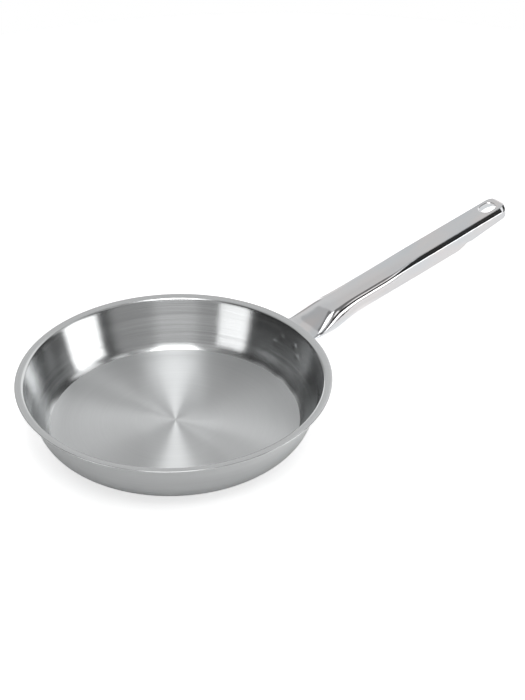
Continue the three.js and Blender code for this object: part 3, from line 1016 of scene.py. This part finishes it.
# %% [markdown]
# One closed skin
# The rings are joined into one closed skin: inside from where the tube closes to the flange's edge, then
# outside to the tip. Bridge Edge Loops could join them too. Counting through the points in a loop gives
# the same faces on every run.


# %% Loft the rings
def loft(name, rings):
    """A closed mesh through rings of as many points each, with a fan over each end."""
    count = len(rings[0])
    points = np.vstack([*rings, rings[0].mean(0), rings[-1].mean(0)]) * MM
    faces = []
    for row in range(len(rings) - 1):
        for i in range(count):
            here = row * count + i
            beside = row * count + (i + 1) % count
            faces.append((here, beside, beside + count, here + count))
    last = (len(rings) - 1) * count
    for i in range(count):
        beside = (i + 1) % count
        faces.append((len(points) - 2, beside, i))
        faces.append((len(points) - 1, last + i, last + beside))
    mesh = bpy.data.meshes.new(name)
    mesh.from_pydata(points.tolist(), [], faces)
    made = bpy.data.objects.new(name, mesh)
    scene.collection.objects.link(made)
    return made


handle = loft("tube_handle", inner_rings[::-1] + outer_rings)
print("handle faces before the hole", len(handle.data.polygons))

# %% [markdown]
# The hanging hole
# The real hole is punched through both sheets where they lie together. A Boolean cuts it in one go. The
# cutter is wider below the top sheet, because the lower sheet is cut back there.

# %% Cut the hole
HOLE_LENGTH = 14.6
HOLE_WIDTH = 11
HOLE_INSET = 15.4
HOLE_SHEET = 1.6
CUT_BACK = 2.4
CUT_BELOW = 6
CUT_ABOVE = 4
SLOT_POINTS = 40

hole_at = handle_end - HOLE_INSET


def slot_outline(grow, count):
    """Points round the slot in the handle's own plane: along the handle and across it."""
    half = (HOLE_LENGTH - HOLE_WIDTH) / 2
    radius = HOLE_WIDTH / 2 + grow
    ends = [(half, a) for a in np.linspace(-math.pi / 2, math.pi / 2, count)]
    ends += [(-half, a) for a in np.linspace(math.pi / 2, 3 * math.pi / 2, count)]
    return [(middle + radius * math.cos(a), radius * math.sin(a)) for middle, a in ends]


def slot_cutter():
    """The slot through the top sheet, wider below it."""
    place, up = station(hole_at)
    top = ROOT_DROP + TUBE_TOP
    under_sheet = top - HOLE_SHEET
    levels = [(top - CUT_BELOW, CUT_BACK), (under_sheet, CUT_BACK), (under_sheet, 0), (top + CUT_ABOVE, 0)]
    rings = []
    for lift, grow in levels:
        foot = place + up * lift
        ring = []
        for u, v in slot_outline(grow, SLOT_POINTS):
            ring.append((foot.x + tube_direction.x * u, v, foot.y + tube_direction.y * u))
        rings.append(np.array(ring))
    return loft("slot_cutter", rings)


cutter = slot_cutter()
cut = handle.modifiers.new("hanging_hole", "BOOLEAN")
cut.operation = "DIFFERENCE"
cut.solver = "EXACT"
cut.object = cutter
graph = bpy.context.evaluated_depsgraph_get()
cut_mesh = bpy.data.meshes.new_from_object(handle.evaluated_get(graph))
handle.modifiers.remove(cut)
handle.data = cut_mesh
bpy.data.objects.remove(cutter)
print("handle faces", len(cut_mesh.polygons))

# %% [markdown]
# The hole's rim
# The punched rim is rolled over and not sharp. A bevel would have to find the Boolean's uneven edges, so
# the points near the rim are simply pushed down, more so the nearer they are.

# %% Roll the rim
RIM_ROLL_WIDTH = 1.2
RIM_ROLL_DEPTH = 0.55
RIM_SLACK = 0.01
TOP_SHEET_SHARE = 0.6
HANDLE_SHARP = math.radians(40)


def roll_rim(mesh):
    """Pushes the top sheet's points down near the hole, and counts them."""
    place, up = station(hole_at)
    points = np.empty(len(mesh.vertices) * 3)
    mesh.vertices.foreach_get("co", points)
    points = points.reshape(-1, 3) / MM
    offset = points[:, [0, 2]] - np.array(place)
    along = offset @ np.array(tube_direction)
    height_mm = offset @ np.array(tube_up)
    half = (HOLE_LENGTH - HOLE_WIDTH) / 2
    past = np.hypot(np.clip(np.abs(along) - half, 0, None), points[:, 1]) - HOLE_WIDTH / 2
    is_top = height_mm > TUBE_TOP + ROOT_DROP - pressed_sheet * TOP_SHEET_SHARE
    is_rim = (past > -RIM_SLACK) & is_top & (along > -HOLE_LENGTH)
    share = np.clip(1 - past / RIM_ROLL_WIDTH, 0, 1) ** 2 * is_rim
    points[:, 0] -= tube_up.x * share * RIM_ROLL_DEPTH
    points[:, 2] -= tube_up.y * share * RIM_ROLL_DEPTH
    mesh.vertices.foreach_set("co", (points * MM).ravel())
    mesh.update()
    return int((share > 0).sum())


print("rim points rolled", roll_rim(handle.data))
handle.data.polygons.foreach_set("use_smooth", np.ones(len(handle.data.polygons), bool))
handle.data.set_sharp_from_angle(angle=HANDLE_SHARP)

# %% [markdown]
# Polished steel
# The handle is polished along its length. The finish is nearly a mirror, with faint drawn lines and slow
# waves that polishing leaves in thin tube. Its colour drifts a trace between cool and warm with the slow
# waves, which is a painted reflection tint. A plain mirror would look like glass, so two noises, one
# stretched along the handle and one slow, break it up.

# %% Polished finish
DRAWN_LINES = (30, 2400, 2400)
SLOW_WAVES = (22, 60, 60)
# Steel grey with a painted reflection tint: cool where the slow waves are low, warm where they are high
COOL_REFLECTION_STEEL = (0.66, 0.68, 0.70, 1)
WARM_REFLECTION_STEEL = (0.71, 0.69, 0.69, 1)
COOL_UNDER = 0.35
WARM_OVER = 0.65
WAVE_DEPTH = 2e-5
LINE_DEPTH = 4e-7
LEAST_ROUGH = 0.06
MOST_ROUGH = 0.13


def polished_steel(name):
    """Steel that mirrors, with faint lines along X."""
    steel, nodes = new_material(name)
    place = nodes.add("ShaderNodeTexCoord").outputs["Object"]
    drawn = nodes.vector("MULTIPLY", place, DRAWN_LINES)
    lines = nodes.add("ShaderNodeTexNoise", {"Vector": drawn, "Scale": 1.0, "Detail": 2.0}).outputs["Fac"]
    slow = nodes.vector("MULTIPLY", place, SLOW_WAVES)
    waves = nodes.add("ShaderNodeTexNoise", {"Vector": slow, "Scale": 1.0, "Detail": 1.0}).outputs["Fac"]
    # The painted reflection tint follows the slow waves
    reflection_tint = nodes.ramp(waves, COOL_UNDER, WARM_OVER)
    wavy = nodes.add("ShaderNodeBump", {"Strength": 1.0, "Distance": WAVE_DEPTH, "Height": waves})
    score = {"Strength": 0.6, "Distance": LINE_DEPTH, "Height": lines, "Normal": wavy.outputs[0]}
    surface = nodes.add(
        "ShaderNodeBsdfPrincipled",
        {
            "Base Color": nodes.mix_colours(reflection_tint, COOL_REFLECTION_STEEL, WARM_REFLECTION_STEEL),
            "Metallic": 1.0,
            "Roughness": nodes.ramp(lines, 0, 1, LEAST_ROUGH, MOST_ROUGH),
            "Normal": nodes.add("ShaderNodeBump", score).outputs[0],
        },
    )
    nodes.add("ShaderNodeOutputMaterial", {"Surface": surface.outputs[0]})
    return steel


polished_handle = polished_steel("polished_handle")
handle.data.materials.clear()
handle.data.materials.append(polished_handle)
print("handle finish", polished_handle.name)

# %% [markdown]
# The pieces inside
# The heat spreader, the two braze layers and the weld nuggets are shut inside the base and between the
# sheets. Their CAD shapes are right, so they stay, and only get a finish: rolled aluminium, grey braze
# and blued weld metal, each a mottled metal with its own grain.

# %% Inner finishes
MOTTLE_DEPTH = 2e-5
ROUGH_WANDER = 0.1


def cast_metal(name, dark, pale, rough, grain):
    """Mottled metal between two colours."""
    metal, nodes = new_material(name)
    place = nodes.add("ShaderNodeTexCoord").outputs["Object"]
    spots = {"Vector": place, "Scale": grain, "Detail": 5.0}
    mottle = nodes.add("ShaderNodeTexNoise", spots).outputs["Fac"]
    bump = nodes.add("ShaderNodeBump", {"Strength": 0.5, "Distance": MOTTLE_DEPTH, "Height": mottle})
    surface = nodes.add(
        "ShaderNodeBsdfPrincipled",
        {
            "Base Color": nodes.mix_colours(mottle, (*dark, 1), (*pale, 1)),
            "Metallic": 1.0,
            "Roughness": nodes.ramp(mottle, 0, 1, rough - ROUGH_WANDER, rough + ROUGH_WANDER),
            "Normal": bump.outputs[0],
        },
    )
    nodes.add("ShaderNodeOutputMaterial", {"Surface": surface.outputs[0]})
    return metal


rolled_aluminium = cast_metal("rolled_aluminium", (0.72, 0.73, 0.74), (0.82, 0.83, 0.84), 0.4, 600)
grey_braze = cast_metal("grey_braze", (0.45, 0.46, 0.48), (0.60, 0.60, 0.58), 0.5, 900)
weld_metal = cast_metal("weld_metal", (0.40, 0.42, 0.46), (0.58, 0.54, 0.50), 0.4, 1200)
inner_finishes = {
    "diffuser_disc": rolled_aluminium,
    "upper_braze_foil": grey_braze,
    "lower_braze_foil": grey_braze,
}
inner_finishes.update({f"spot_weld_{i}": weld_metal for i in (1, 2, 3, 4)})
for node, finish in inner_finishes.items():
    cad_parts[node].data.materials.clear()
    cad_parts[node].data.materials.append(finish)
print("inner pieces finished:", len(inner_finishes))

# %% [markdown]
# Join the pieces to the frame
# The pan is rigid, so every piece rides on the one body. Each new piece is listed with the CAD node that
# it stands for, which is hidden, and with a slot name for its finish, which nothing here reads. Last, the
# CAD box and the finished model's box are written side by side.

# %% Ride, replace and measure
for piece, node, slot in [
    (shell, "pan_shell", "shell_steel"),
    (cap, "base_cap", "cap_steel"),
    (handle, "handle_tube", "handle_steel"),
]:
    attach(piece, "root")
    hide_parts(node)
    low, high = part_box(node)
    print(piece.name, "CAD box", [round(v, 4) for v in (*low, *high)])
    corners = np.array([corner[:] for corner in piece.bound_box])
    print(piece.name, "box", np.r_[corners.min(0), corners.max(0)].round(4).tolist())
